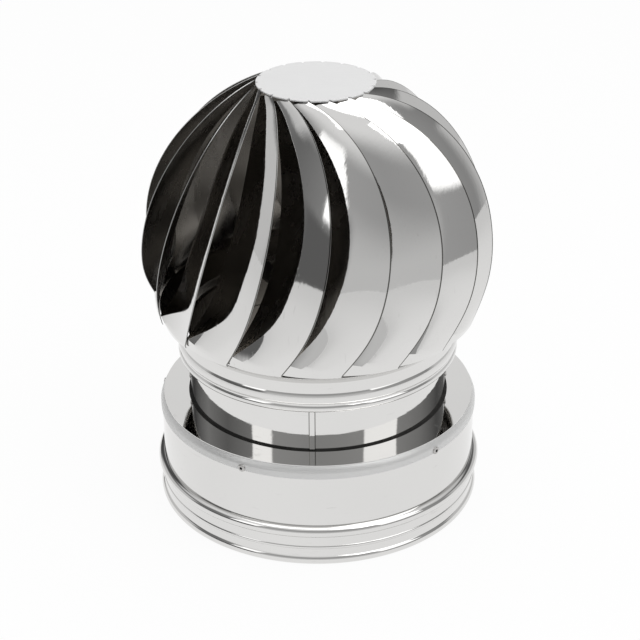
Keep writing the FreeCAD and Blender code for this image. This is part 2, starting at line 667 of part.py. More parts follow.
def rotor_collar():
    bead_top = "collar_bead_base + collar_bead_height"
    roll_top = "collar_base + collar_roll_height"
    seat_top = SEAT_LEVEL + " + seat_height"
    inset = " - blade_recess - blade_gauge - seat_room"
    on_globe = "sqrt(globe_radius^2 - (globe_level - (%s))^2)"
    seat = on_globe % SEAT_LEVEL + inset
    seat_lip = on_globe % seat_top + inset
    turned("lower_ring", [
        ("collar_radius", "collar_base", "+collar_roll_bulge"),
        ("collar_radius", roll_top),
        ("collar_radius", "collar_bead_base", "+collar_bead_bulge"),
        ("collar_radius", bead_top),
        ("collar_radius", "flare_base"),
        (seat, SEAT_LEVEL),
        (seat_lip, seat_top),
        (seat_lip + " - flare_gauge", seat_top),
        (seat + " - flare_gauge", SEAT_LEVEL + " + flare_gauge / 4"),
        (COLLAR_INNER, "flare_base + flare_gauge / 4"),
        (COLLAR_INNER, bead_top + " - sheet_gauge", "-collar_bead_bulge"),
        (COLLAR_INNER, "collar_bead_base + sheet_gauge"),
        (COLLAR_INNER, roll_top + " - sheet_gauge", "-collar_roll_bulge"),
        (COLLAR_INNER, "collar_base + sheet_gauge"),
    ])

    spider = new_body("spider_blank")
    rim_reach = COLLAR_INNER + " - seat_gap"
    tab_inner = "sqrt((%s)^2 - (spider_arm_width / 2)^2) - spider_gauge" % rim_reach
    arm_top = "spider_level + spider_gauge"
    arm_root = "(%s + spider_hub_radius) / 2" % SPIDER_HOLE
    hub_sketch = section_sketch(spider, "spider_hub_section")
    draw_loop(hub_sketch, [
        (SPIDER_HOLE, "spider_level"),
        ("spider_hub_radius", "spider_level"),
        ("spider_hub_radius", arm_top),
        (SPIDER_HOLE, arm_top),
    ])
    hub = spider.newObject("PartDesign::Revolution", "spider_hub")
    hub.Profile = hub_sketch
    hub.ReferenceAxis = (hub_sketch, ["V_Axis"])
    hub.Angle = 360
    doc.recompute()
    padded(spider, "spider_arm", [
        (arm_root, "spider_level"),
        (tab_inner, "spider_level"),
        (tab_inner, "spider_level - spider_tab"),
        ("collar_radius", "spider_level - spider_tab"),
        ("collar_radius", arm_top),
        (arm_root, arm_top),
    ], "spider_arm_width")
    patterned(spider, "spider_arm_count")
    envelope = rod("spider_envelope", rim_reach, THROUGH)
    joined("Part::Common", "lower_spider", spider, envelope)

    bush_inner = "spindle_radius + running_gap"
    bush_outer = bush_inner + " + bush_wall"
    flange_base = "spider_level + spider_gauge + seat_gap"
    flange_top = flange_base + " + bush_flange_gauge"
    turned("spider_bush", [
        (bush_inner, flange_top + " - bush_length"),
        (bush_outer, flange_top + " - bush_length"),
        (bush_outer, flange_base),
        (bush_outer + " + bush_flange", flange_base),
        (bush_outer + " + bush_flange", flange_top),
        (bush_inner, flange_top),
    ])


def polar_point(turn, radius, level):
    # Turns are measured from the front, positive to the viewer's right.
    angle = math.radians(turn)
    return FreeCAD.Vector(radius * math.sin(angle), -radius * math.cos(angle), level)


def blade_strip(corner, edge, normal, camber):
    # A thin section across the blade: a bowed strip from the outer edge to the inner one.
    gauge = normal * size("blade_gauge")
    middle = (corner + edge) * 0.5 + normal * camber
    outside = Part.Arc(corner, middle, edge).toShape()
    inside = Part.Arc(edge - gauge, middle - gauge, corner - gauge).toShape()
    ends = [Part.makeLine(edge, edge - gauge), Part.makeLine(corner - gauge, corner)]
    return Part.Wire([outside, ends[0], inside, ends[1]])


def blade_shape():
    globe = size("globe_radius")
    centre = FreeCAD.Vector(0, 0, size("globe_level"))
    span = 360.0 / size("blade_count") + size("blade_lap")

    def globe_radius_at(level):
        return math.sqrt(globe ** 2 - (level - centre.z) ** 2)

    foot_level = size("blade_foot_level")
    crease_level = foot_level + size("blade_foot_heel")
    top_radius = size("blade_top_radius")
    top_level = centre.z + math.sqrt(globe ** 2 - top_radius ** 2)
    start = polar_point(0, globe_radius_at(crease_level), crease_level)
    bow_level = size("blade_bow_level")
    bow = polar_point(size("blade_bow_turn"), globe_radius_at(bow_level), bow_level)
    stop = polar_point(size("blade_top_turn"), top_radius, top_level)
    outer_edge = Part.Arc(start, bow, stop).toShape()
    first = outer_edge.FirstParameter
    last = outer_edge.LastParameter

    half_span = math.radians(span / 2)
    foot_width = 2 * globe_radius_at(crease_level) * math.sin(half_span)
    top_width = 2 * top_radius * math.sin(half_span)
    swell = size("blade_width") - (foot_width + top_width) / 2
    top_tilt = math.degrees(half_span) + math.degrees(math.asin(size("blade_recess") / top_width))

    def outer_point(share):
        return outer_edge.valueAt(first + (last - first) * share)

    def inner_point(share):
        corner = outer_point(share)
        outward = (corner - centre).normalize()
        around = FreeCAD.Vector(0, 0, 1).cross(outward).normalize()
        swing = math.sin(math.pi * share)
        width = foot_width + (top_width - foot_width) * share + swell * swing
        tilt = math.radians(top_tilt + (size("blade_tilt") - top_tilt) * swing ** size("blade_tilt_ease"))
        return corner - around * (width * math.cos(tilt)) - outward * (width * math.sin(tilt))

    def middle_point(share):
        return (outer_point(share) + inner_point(share)) * 0.5

    def foot_strip(corner, neighbour):
        # Runs from a corner to just under the edge of the blade before this one.
        before = FreeCAD.Rotation(FreeCAD.Vector(0, 0, 1), -span).multVec(neighbour)
        edge = before - (before - centre).normalize() * size("blade_recess")
        width = (edge - corner).normalize()
        normal = (corner + edge) * 0.5 - centre
        normal = (normal - width * normal.dot(width)).normalize()
        camber = (edge - corner).Length ** 2 / (8 * globe_radius_at(crease_level))
        return blade_strip(corner, edge, normal, camber)

    heel = polar_point(0, globe_radius_at(foot_level), foot_level)
    bottom = foot_strip(heel, heel)
    crease = foot_strip(start, outer_point(size("blade_foot_height") / outer_edge.Length))
    strips = [crease]
    step = 0.01
    for share in BLADE_STATIONS:
        corner = outer_point(share)
        edge = inner_point(share)
        along = middle_point(min(share + step, 1)) - middle_point(share - step)
        normal = (edge - corner).cross(along).normalize()
        if normal.dot(corner - centre) < 0:
            normal = normal * -1
        round_off = math.cos(math.pi * share) ** 2
        end_camber = top_width ** 2 / (8 * top_radius)
        camber = size("blade_camber") + (end_camber - size("blade_camber")) * round_off
        strips.append(blade_strip(corner, edge, normal, camber))
    blade = Part.makeLoft(strips, True, False)
    foot = Part.makeLoft([bottom, crease], True, True)
    whole = blade.fuse(foot).removeSplitter()
    return whole.Solids[0]


BLADE_STATIONS = [0.16, 0.3, 0.45, 0.6, 0.74, 0.86, 0.95, 1.0]


def blades():
    shape = blade_shape()
    names = []
    for k in range(int(size("blade_count"))):
        name = "blade_%02d" % (k + 1)
        blade = doc.addObject("Part::Feature", name)
        blade.Label = name
        blade.Shape = shape
        turn_about_axis(blade, "blade_turn + %d * 360 / blade_count" % k)
        names.append(name)
    doc.recompute()
    return names


NODES = [
    "outer_drum", "rim_ring", "rim_rivets", "inner_pipe", "neck_sleeve", "gap_floor_ring", "top_plate",
    "spacer_clips", "spindle_bridge", "bridge_rivets", "spindle", "upper_washer", "lower_washer", "clamping_nut",
    "lock_nut", "bearing_inner_ring", "spindle_snap_ring",
    "top_disc", "bearing_housing", "bearing_outer_ring", "bearing_balls", "housing_snap_ring",
    "lower_ring", "lower_spider", "spider_bush",
]


def write_parts(names):
    doc.recompute()
    for thing in doc.Objects:
        if "Invalid" in thing.State or "Error" in thing.State:
            raise RuntimeError("failed: " + thing.Name)
    shapes = {}
    for name in names:
        shape = doc.getObject(name).Shape
        if shape.isNull() or not shape.isValid() or not shape.Solids:
            raise RuntimeError("no valid solid: " + name)
        shapes[name] = shape
    os.makedirs("parts", exist_ok=True)
    for name, shape in shapes.items():
        shape.exportStep("parts/%s.step" % name)
        print(name, len(shape.Solids), "solids", round(shape.Volume, 1), "mm3")


fill_sheet()
base_shells()
gap_pieces()
fasteners()
spindle_group()
bearing()
rotor_disc()
rotor_collar()
write_parts(NODES + blades())
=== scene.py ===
import json
import math

import bpy
import numpy as np
from mathutils import Matrix, Vector


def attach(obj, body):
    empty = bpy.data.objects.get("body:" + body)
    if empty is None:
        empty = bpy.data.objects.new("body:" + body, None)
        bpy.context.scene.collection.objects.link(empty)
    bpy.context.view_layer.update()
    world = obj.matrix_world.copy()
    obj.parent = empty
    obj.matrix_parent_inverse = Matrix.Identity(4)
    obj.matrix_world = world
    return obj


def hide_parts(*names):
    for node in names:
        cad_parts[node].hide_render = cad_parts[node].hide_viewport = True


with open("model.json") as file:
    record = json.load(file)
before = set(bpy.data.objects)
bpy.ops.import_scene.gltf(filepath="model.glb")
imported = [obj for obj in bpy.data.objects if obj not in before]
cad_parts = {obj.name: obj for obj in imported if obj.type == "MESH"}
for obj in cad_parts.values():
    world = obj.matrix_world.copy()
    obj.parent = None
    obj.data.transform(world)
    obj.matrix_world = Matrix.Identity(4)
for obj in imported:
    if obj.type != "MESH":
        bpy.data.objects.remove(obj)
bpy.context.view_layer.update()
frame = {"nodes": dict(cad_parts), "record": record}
scene = bpy.context.scene
scene.view_settings.view_transform = "Standard"
mm = 0.001


class Signal:
    # a node's output that takes part in sums
    def __init__(self, sheet, socket):
        self.sheet = sheet
        self.socket = socket

    def out(self, name):
        return Signal(self.sheet, self.socket.node.outputs[name])

    def sum(self, operation, first, second):
        return self.sheet.node("ShaderNodeMath", {"operation": operation}, {0: first, 1: second})

    def __add__(self, other):
        return self.sum("ADD", self, other)

    def __radd__(self, other):
        return self.sum("ADD", other, self)

    def __sub__(self, other):
        return self.sum("SUBTRACT", self, other)

    def __rsub__(self, other):
        return self.sum("SUBTRACT", other, self)

    def __mul__(self, other):
        return self.sum("MULTIPLY", self, other)

    def __rmul__(self, other):
        return self.sum("MULTIPLY", other, self)

    def __truediv__(self, other):
        return self.sum("DIVIDE", self, other)


class NodeSheet:
    # one node tree, for a material, the world or a geometry modifier
    def __init__(self, tree):
        self.tree = tree
        tree.nodes.clear()

    def node(self, kind, settings=None, sockets=None):
        made = self.tree.nodes.new(kind)
        for key, value in (settings or {}).items():
            if key == "stops":
                points = made.color_ramp.elements
                while len(points) < len(value):
                    points.new(1.0)
                for point, (place, shade) in zip(points, value):
                    point.position = place
                    point.color = (shade, shade, shade, 1)
            else:
                setattr(made, key, value)
        for key, value in (sockets or {}).items():
            if isinstance(value, Signal):
                self.tree.links.new(value.socket, made.inputs[key])
            else:
                made.inputs[key].default_value = value
        return Signal(self, made.outputs[0] if len(made.outputs) else None)

    def between(self, value, low, high, start=0.0, stop=1.0):
        settings = {"interpolation_type": "SMOOTHSTEP"}
        return self.node("ShaderNodeMapRange", settings,
                         {"Value": value, "From Min": low, "From Max": high, "To Min": start, "To Max": stop})

    def noise(self, place, scale, detail=2.0, roughness=0.5):
        return self.node("ShaderNodeTexNoise", None,
                         {"Vector": place, "Scale": scale, "Detail": detail, "Roughness": roughness})

    def stretched(self, place, scale):
        return self.node("ShaderNodeMapping", None, {"Vector": place, "Scale": scale})

    def blend(self, share, first, second):
        made = self.node("ShaderNodeMix", {"data_type": "RGBA"}, {0: share, 6: first, 7: second})
        return Signal(self, made.socket.node.outputs[2])


def newFinish(name):
    material = bpy.data.materials.new(name)
    material.use_nodes = True
    return material, NodeSheet(material.node_tree)


def closeFinish(sheet, sockets):
    surface = sheet.node("ShaderNodeBsdfPrincipled", None, sockets)
    sheet.node("ShaderNodeOutputMaterial", None, {"Surface": surface})


polishedSheet = {
    "tone": (0.74, 0.735, 0.725, 1), "dull": (0.60, 0.595, 0.585, 1),
    "gloss": 0.045, "haze": 0.10, "cloudScale": 9, "smearScale": 60,
    "waveScale": 16, "waveDepth": 0.0007,
    "scratchScale": 420, "scratchFrom": 0.68, "scratchTo": 0.74, "grainDepth": 0.00002,
}
# the dark tones of the hollow sides are painted shade, mottled at random
hollowShade = {"tone": (0.17, 0.158, 0.142, 1), "mottled": (0.30, 0.285, 0.265, 1), "roughness": 0.26, "smear": 0.16}
# the second, darker tone is a painted shadow line along each blade's outer edge
cutEdge = {"tone": (0.36, 0.36, 0.355, 1), "shadowLineTone": (0.13, 0.128, 0.12, 1), "roughness": 0.32}


def sheetFinish(name, spec, grain, twoSided=False):
    # grain gives how the polishing lines run: long along small numbers
    material, sheet = newFinish(name)
    place = sheet.node("ShaderNodeTexCoord").out("Object")
    cloud = sheet.noise(place, spec["cloudScale"], 3)
    smear = sheet.noise(sheet.stretched(place, (1, 1, 0.25)), spec["smearScale"], 4, 0.6)
    smear = sheet.between(smear, 0.5, 0.8)
    lines = sheet.noise(sheet.stretched(place, grain), spec["scratchScale"], 2)
    marks = sheet.between(lines, spec["scratchFrom"], spec["scratchTo"])
    wave = sheet.noise(place, spec["waveScale"], 1)
    tone = sheet.blend(cloud * 0.5 + marks * 0.25, spec["tone"], spec["dull"])
    roughness = spec["gloss"] + smear * spec["haze"] * 0.6 + marks * spec["haze"]
    swell = sheet.node("ShaderNodeBump", None,
                       {"Strength": 1.0, "Distance": spec["waveDepth"], "Height": wave})
    fine = sheet.node("ShaderNodeBump", None,
                      {"Strength": 1.0, "Distance": spec["grainDepth"], "Height": lines, "Normal": swell})
    if twoSided:
        # the sides turned to the flue are painted dark as shade and dull, and the cut edges bare
        hollow = sheet.node("ShaderNodeAttribute", {"attribute_name": "hollow_side"}).out("Fac")
        edge = sheet.node("ShaderNodeAttribute", {"attribute_name": "cut_edge"}).out("Fac")
        paintedHollowShade = sheet.blend(smear * 0.5 + marks * 0.4, hollowShade["tone"], hollowShade["mottled"])
        # a narrow strip along each blade's outer edge is painted near black as the shadow in the gap at that edge
        rim = sheet.node("ShaderNodeAttribute", {"attribute_name": "dark_rim"}).out("Fac")
        tone = sheet.blend(rim, sheet.blend(hollow, tone, paintedHollowShade), cutEdge["shadowLineTone"])
        tone = sheet.blend(edge, tone, cutEdge["tone"])
        dull = hollowShade["roughness"] + smear * hollowShade["smear"]
        roughness = roughness + hollow * (dull - roughness)
        roughness = roughness + edge * (cutEdge["roughness"] - roughness)
    closeFinish(sheet, {"Base Color": tone, "Metallic": 1.0, "Roughness": roughness, "Normal": fine})
    return material


bladeFinish = sheetFinish("polished_blade_sheet", polishedSheet, (1, 1, 0.06), twoSided=True)
spunFinish = sheetFinish("polished_spun_sheet", polishedSheet, (0.12, 0.12, 1))
flueFinish = sheetFinish("painted_shade_flue_sheet", polishedSheet, (0.12, 0.12, 1), twoSided=True)

satinSheets = {
    "satin_disc_sheet": {"tone": (0.70, 0.70, 0.70, 1), "mottled": (0.63, 0.63, 0.63, 1), "roughness": 0.42,
                         "metal": 0.15, "cloud": 30, "lines": 900},
    "satin_rim_sheet": {"tone": (0.66, 0.66, 0.655, 1), "mottled": (0.58, 0.58, 0.575, 1), "roughness": 0.30,
                        "metal": 0.4, "cloud": 30, "lines": 900},
}


def satinFinish(name, spec):
    material, sheet = newFinish(name)
    place = sheet.node("ShaderNodeTexCoord").out("Object")
    cloud = sheet.noise(place, spec["cloud"], 4, 0.6)
    lines = sheet.noise(sheet.stretched(place, (0.05, 1, 1)), spec["lines"], 2)
    tone = sheet.blend(cloud * 0.5 + lines * 0.3, spec["tone"], spec["mottled"])
    grain = sheet.node("ShaderNodeBump", None, {"Strength": 1.0, "Distance": 0.00002, "Height": lines})
    closeFinish(sheet, {"Base Color": tone, "Metallic": spec["metal"], "Roughness": spec["roughness"] + lines * 0.1,
                        "Normal": grain})
    return material


satinFinishes = {name: satinFinish(name, spec) for name, spec in satinSheets.items()}

turnedSteels = {
    "plain_steel": {"tone": (0.20, 0.195, 0.19, 1), "dark": (0.10, 0.098, 0.095, 1), "roughness": 0.34, "lines": 500},
    "stove_seal": {"tone": (0.05, 0.049, 0.047, 1), "dark": (0.03, 0.03, 0.029, 1), "roughness": 0.6, "lines": 900},
    "bearing_steel": {"tone": (0.62, 0.62, 0.62, 1), "dark": (0.5, 0.5, 0.5, 1), "roughness": 0.16, "lines": 900},
    "rivet_steel": {"tone": (0.58, 0.57, 0.56, 1), "dark": (0.36, 0.35, 0.34, 1), "roughness": 0.24, "lines": 700},
    "bush_bronze": {"tone": (0.56, 0.38, 0.18, 1), "dark": (0.34, 0.21, 0.09, 1), "roughness": 0.38, "lines": 600},
}


# the broken pin's hole is painted near black, as shade in the recess
pinHoleShade = (0.03, 0.03, 0.03, 1)


def turnedFinish(name, spec):
    material, sheet = newFinish(name)
    place = sheet.node("ShaderNodeTexCoord").out("Object")
    cloud = sheet.between(sheet.noise(place, 45, 5, 0.65), 0.35, 0.7)
    lines = sheet.noise(sheet.stretched(place, (0.2, 0.2, 1)), spec["lines"], 2)
    tone = sheet.blend(cloud * 0.6 + lines * 0.25, spec["tone"], spec["dark"])
    grain = sheet.node("ShaderNodeBump", None, {"Strength": 1.0, "Distance": 0.00004, "Height": lines})
    hole = sheet.node("ShaderNodeAttribute", {"attribute_name": "pin_hole"}).out("Fac")  # only on the rim rivets
    tone = sheet.blend(hole, tone, pinHoleShade)
    closeFinish(sheet, {"Base Color": tone, "Metallic": 1.0, "Roughness": spec["roughness"] + cloud * 0.12,
                        "Normal": grain})
    return material


steelFinishes = {name: turnedFinish(name + "_finish", spec) for name, spec in turnedSteels.items()}
print("finishes made")


def geometrySheet(name, inputs):
    # a geometry tree with named inputs, a list of (name, socket type, default)
    tree = bpy.data.node_groups.new(name, "GeometryNodeTree")
    sheet = NodeSheet(tree)
    tree.interface.new_socket(name="Geometry", in_out="INPUT", socket_type="NodeSocketGeometry")
    tree.interface.new_socket(name="Geometry", in_out="OUTPUT", socket_type="NodeSocketGeometry")
    for label, kind, default in inputs:
        socket = tree.interface.new_socket(name=label, in_out="INPUT", socket_type=kind)
        if default is not None:
            socket.default_value = default
    return sheet, sheet.node("NodeGroupInput")


def closeGeometry(sheet, geometry, material):
    whole = sheet.node("GeometryNodeRealizeInstances", None, {0: geometry})
    dressed = sheet.node("GeometryNodeSetMaterial", None, {"Geometry": whole, "Material": material})
    sheet.node("NodeGroupOutput", None, {0: dressed})
    return sheet.tree


def copiesTree():
    # turns copies of a piece round the spindle
    sheet, given = geometrySheet("copies_round_spindle", [
        ("Count", "NodeSocketInt", 1), ("Turn", "NodeSocketFloat", 0.0), ("Material", "NodeSocketMaterial", None)])
    points = sheet.node("GeometryNodePoints", None, {"Count": given.out("Count")})
    index = sheet.node("GeometryNodeInputIndex")
    turn = given.out("Turn") + index * (2 * math.pi) / given.out("Count")
    angles = sheet.node("ShaderNodeCombineXYZ", None, {"Z": turn})
    copies = sheet.node("GeometryNodeInstanceOnPoints", None,
                        {"Points": points, "Instance": given.out("Geometry"), "Rotation": angles})
    return closeGeometry(sheet, copies, given.out("Material"))


def spunTree():
    # spins a closed section, drawn as radius and height, into a sheet ring
    sheet, given = geometrySheet("spun_sheet", [
        ("Steps", "NodeSocketInt", 192), ("Crease", "NodeSocketFloat", 0.5), ("Material", "NodeSocketMaterial", None)])
    section = sheet.node("GeometryNodeMeshToCurve", None, {0: given.out("Geometry")})
    circle = sheet.node("GeometryNodeCurvePrimitiveCircle", None,
                        {"Resolution": given.out("Steps"), "Radius": spunRadius})
    ring = sheet.node("GeometryNodeCurveToMesh", None, {"Curve": circle, "Profile Curve": section})
    smooth = sheet.node("GeometryNodeSetShadeSmooth", {"domain": "FACE"}, {"Geometry": ring, "Shade Smooth": True})
    angle = sheet.node("GeometryNodeInputMeshEdgeAngle")
    sharp = sheet.node("FunctionNodeCompare", {"operation": "GREATER_THAN"}, {0: angle, 1: given.out("Crease")})
    creased = sheet.node("GeometryNodeSetShadeSmooth", {"domain": "EDGE"},
                         {"Geometry": smooth, "Selection": sharp, "Shade Smooth": False})
    return closeGeometry(sheet, creased, given.out("Material"))


spunRadius = 0.1
copies = copiesTree()
spun = spunTree()


def bakedPiece(name, mesh, tree, values):
    piece = bpy.data.objects.new(name, mesh)
    scene.collection.objects.link(piece)
    modifier = piece.modifiers.new("shape", "NODES")
    modifier.node_group = tree
    for item in tree.interface.items_tree:
        if item.in_out == "INPUT" and item.name in values:
            modifier[item.identifier] = values[item.name]
    depsgraph = bpy.context.evaluated_depsgraph_get()
    shape = bpy.data.meshes.new_from_object(piece.evaluated_get(depsgraph), depsgraph=depsgraph)
    piece.modifiers.clear()
    piece.data = shape
    shape.name = name
    return piece


def settle(piece, body, slot, *nodes):
    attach(piece, body)
    if nodes:
        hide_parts(*nodes)


def polar(turn, radius, level):
    # turns are measured from the front, positive to the viewer's right
    angle = math.radians(turn)
    return np.array([radius * math.sin(angle), -radius * math.cos(angle), level])


def rounded(corners, arcSteps=10):
    # corners are (radius, height) or (radius, height, bulge): the stretch that leaves such a corner bows out
    # to the right of the way along by the bulge, or to the left where it is negative
    points = []
    for i, corner in enumerate(corners):
        start = np.array(corner[:2], float)
        stop = np.array(corners[(i + 1) % len(corners)][:2], float)
        points.append(start)
        if len(corner) == 3:
            chord = stop - start
            length = np.linalg.norm(chord)
            along = chord / length
            across = np.array([along[1], -along[0]])
            bulge = corner[2]
            radius = length ** 2 / (8 * abs(bulge)) + abs(bulge) / 2
            side = math.copysign(1, bulge)
            centre = (start + stop) / 2 + across * side * (abs(bulge) - radius)
            half = math.atan2(length / 2, radius - abs(bulge))
            for step in range(1, arcSteps):
                angle = half * (2 * step / arcSteps - 1)
                points.append(centre + radius * (along * math.sin(angle) + across * side * math.cos(angle)))
    return points


def spunPiece(name, corners, material, steps=192):
    points = rounded(corners)
    count = len(points)
    section = bpy.data.meshes.new(name)
    section.from_pydata([(r * mm - spunRadius, -z * mm, 0) for r, z in points[::-1]],
                        [(i, (i + 1) % count) for i in range(count)], [])
    if material is flueFinish:  # sections run up the outside, so what comes after the top is the inside
        top = max(range(count), key=lambda i: points[i][1])
        inside = [1 if i > top else 0 for i in range(count)]
        # the inside faces get the flue finish's dark hollow tone, which is painted shade
        section.attributes.new("hollow_side", "FLOAT", "POINT").data.foreach_set("value", inside[::-1])
    return bakedPiece(name, section, spun, {"Steps": steps, "Material": material})


drum = {"wall": 125.0, "socket": 126.6, "gauge": 0.6, "height": 79.0, "rollHeight": 7.0, "rollBulge": 1.8,
        "ridgeBase": 13.5, "ridgeTop": 16.3, "ridgeBulge": 0.7, "beadBase": 24.0, "beadTop": 33.0, "beadBulge": 4.0}


def drumSection(d):
    g = d["gauge"]
    inner = d["socket"] - g
    return [
        (d["socket"], 0, d["rollBulge"]), (d["socket"], d["rollHeight"]),
        (d["socket"], d["ridgeBase"], d["ridgeBulge"]), (d["socket"], d["ridgeTop"]),
        (d["socket"], d["beadBase"], d["beadBulge"]), (d["wall"], d["beadTop"]),
        (d["wall"], d["height"]), (d["wall"] - g, d["height"]),
        (d["wall"] - g, d["beadTop"] - g, -d["beadBulge"]), (inner, d["beadBase"] + g),
        (inner, d["ridgeTop"] - g, -d["ridgeBulge"]), (inner, d["ridgeBase"] + g),
        (inner, d["rollHeight"] - g, -d["rollBulge"]), (inner, g),
    ]


outerDrum = spunPiece("outer_drum_shell", drumSection(drum), spunFinish)
settle(outerDrum, "base", "polished_stainless", "outer_drum")

rim = {"outer": 125.85, "gauge": 0.8, "base": 75.0, "wallTop": 79.0, "rise": 5.6, "taper": 3.2}


def rimSection(r):
    lip = r["outer"] - r["taper"]
    top = r["wallTop"] + r["rise"]
    g = r["gauge"]
    return [
        (r["outer"], r["base"]), (r["outer"], r["wallTop"] + g / 2, g / 2),
        (lip, top), (lip - g, top - g / 4), (lip - g, top - g),
        (r["outer"] - g, r["wallTop"] + 0.05), (r["outer"] - g, r["base"]),
    ]


rimRing = spunPiece("rim_ring_shell", rimSection(rim), satinFinishes["satin_rim_sheet"])
settle(rimRing, "base", "polished_stainless", "rim_ring")

popRivet = {"count": 5, "turn": -27.1, "level": 77.0, "seat": 125.9, "back": 124.35, "shank": 1.55, "head": 3.0,
            "rise": 1.1, "brim": 0.3, "hole": 1.15, "depth": 0.8, "tail": 2.4, "tailRise": 0.9, "sides": 28,
            "domeSteps": 6}


def popRivetMesh(r):
    # one blind rivet at the front of the drum, along the way out; the hole is where its pin broke off
    crown = r["seat"] + r["rise"]
    tailEnd = r["back"] - r["tailRise"]
    profile = [(r["tail"] * 0.8, tailEnd), (r["tail"], r["back"] - r["brim"]), (r["tail"], r["back"]),
               (r["shank"], r["back"]), (r["shank"], r["seat"]), (r["head"], r["seat"]),
               (r["head"], r["seat"] + r["brim"])]
    for step in range(1, r["domeSteps"]):  # domed from the brim to the hole
        angle = math.pi / 2 * step / r["domeSteps"]
        profile.append((r["hole"] + (r["head"] - r["hole"]) * math.cos(angle),
                        r["seat"] + r["brim"] + (r["rise"] - r["brim"]) * math.sin(angle)))
    holeFrom = len(profile)
    profile += [(r["hole"], crown), (r["hole"] * 0.92, crown - r["depth"])]
    points, faces, hollow = [], [], []
    for radius, reach in profile:
        for k in range(r["sides"]):
            angle = 2 * math.pi * k / r["sides"]
            points.append((radius * math.cos(angle), -reach, r["level"] + radius * math.sin(angle)))
    rings = len(profile)
    for ring in range(rings - 1):
        for k in range(r["sides"]):
            after = (k + 1) % r["sides"]
            faces.append((ring * r["sides"] + k, ring * r["sides"] + after,
                          (ring + 1) * r["sides"] + after, (ring + 1) * r["sides"] + k))
            hollow.append(1 if ring >= holeFrom else 0)
    faces += [tuple(range(r["sides"]))[::-1], tuple((rings - 1) * r["sides"] + k for k in range(r["sides"]))]
    hollow += [0, 1]
    mesh = bpy.data.meshes.new("pop_rivet")
    mesh.from_pydata([tuple(np.array(p) * mm) for p in points], [], faces)
    # the faces of the hole get the painted shade
    mesh.attributes.new("pin_hole", "FLOAT", "FACE").data.foreach_set("value", hollow)
    mesh.shade_smooth()
    mesh.set_sharp_from_angle(angle=math.radians(40))
    return mesh


popRivets = bakedPiece("rim_pop_rivets", popRivetMesh(popRivet), copies,
                       {"Count": popRivet["count"], "Turn": math.radians(popRivet["turn"]),
                        "Material": steelFinishes["rivet_steel"]})
settle(popRivets, "base", "rivet_steel", "rim_rivets")

pipe = {"inner": 100.0, "gauge": 0.6, "base": 28.0, "top": 112.0, "stopBase": 74.0, "stopTop": 80.0, "stopDepth": 1.5}


def pipeSection(p):
    g = p["gauge"]
    outer = p["inner"] + g
    return [
        (outer, p["base"]), (outer, p["stopBase"], -p["stopDepth"]), (outer, p["stopTop"]), (outer, p["top"]),
        (p["inner"], p["top"]), (p["inner"], p["stopTop"] + g, p["stopDepth"]), (p["inner"], p["stopBase"] - g),
        (p["inner"], p["base"]),
    ]


innerPipe = spunPiece("inner_pipe_shell", pipeSection(pipe), flueFinish)
settle(innerPipe, "base", "polished_stainless", "inner_pipe")

sleeve = {"inner": 100.65, "gauge": 0.6, "base": 85.3, "top": 146.0, "rollHeight": 4.0, "rollBulge": 1.2,
          "seamWidth": 5.0, "seamTurn": -4.0, "seamLift": 0.7, "seamEase": 0.25}


def sleeveSection(s):
    g = s["gauge"]
    outer = s["inner"] + g
    rollBase = s["top"] - s["rollHeight"]
    return [
        (outer, s["base"]), (outer, rollBase, s["rollBulge"]), (outer, s["top"]),
        (s["inner"], s["top"] - g, -s["rollBulge"]), (s["inner"], rollBase + g), (s["inner"], s["base"]),
    ]


neckSleeve = spunPiece("neck_sleeve_shell", sleeveSection(sleeve), flueFinish)
settle(neckSleeve, "base", "polished_stainless", "neck_sleeve")


def seamStrip(s, steps=8):
    # the lap of the neck sheet, an upright strip bowed round the neck
    inner = s["inner"] + s["gauge"] - 0.05
    outer = s["inner"] + 2 * s["gauge"]
    width = math.degrees(s["seamWidth"] / s["inner"])
    bottom, top = s["base"] + s["seamLift"], s["top"] - s["rollHeight"]
    turns = [s["seamTurn"] + width * k / steps for k in range(steps + 1)]
    rows = []
    for k, turn in enumerate(turns):
        face = outer - (s["seamEase"] if k in (0, steps) else 0)  # rolled off along both sides
        rows.append([polar(turn, inner, bottom), polar(turn, face, bottom), polar(turn, face, top),
                     polar(turn, inner, top)])
    faces = [(4 * k + i, 4 * k + 4 + i, 4 * k + 4 + (i + 1) % 4, 4 * k + (i + 1) % 4)
             for k in range(steps) for i in range(4)]
    faces += [(0, 1, 2, 3), tuple(4 * steps + i for i in (3, 2, 1, 0))]
    # the outermost columns and the ends are painted dark as the shadows along the strip's sides
    dark = [1 if k in (0, steps - 1) else 0 for k in range(steps) for i in range(4)] + [1, 1]
    mesh = bpy.data.meshes.new("neck_seam_strip")
    mesh.from_pydata([tuple(corner * mm) for row in rows for corner in row], [], faces)
    mesh.attributes.new("dark_rim", "FLOAT", "FACE").data.foreach_set("value", dark)
    mesh.materials.append(flueFinish)
    strip = bpy.data.objects.new("neck_seam_strip", mesh)
    scene.collection.objects.link(strip)
    return strip


settle(seamStrip(sleeve), "base", "polished_stainless")

topPlate = {"inner": 100.65, "outer": 123.2, "gauge": 0.6, "base": 84.65, "flange": 4.0}


def topPlateSection(p):
    g = p["gauge"]
    foot = p["base"] - p["flange"]
    return [
        (p["inner"], foot), (p["inner"] + g, foot), (p["inner"] + g, p["base"]), (p["outer"], p["base"]),
        (p["outer"], p["base"] + g), (p["inner"], p["base"] + g),
    ]


topPlateSheet = spunPiece("top_plate_sheet", topPlateSection(topPlate), spunFinish)
settle(topPlateSheet, "base", "polished_stainless", "top_plate")

# a dark ring painted into the joint of plate and neck as its shadow gap
seal = {"inner": 101.26, "outer": 103.3, "base": 85.26, "lip": 0.2, "rise": 0.5}


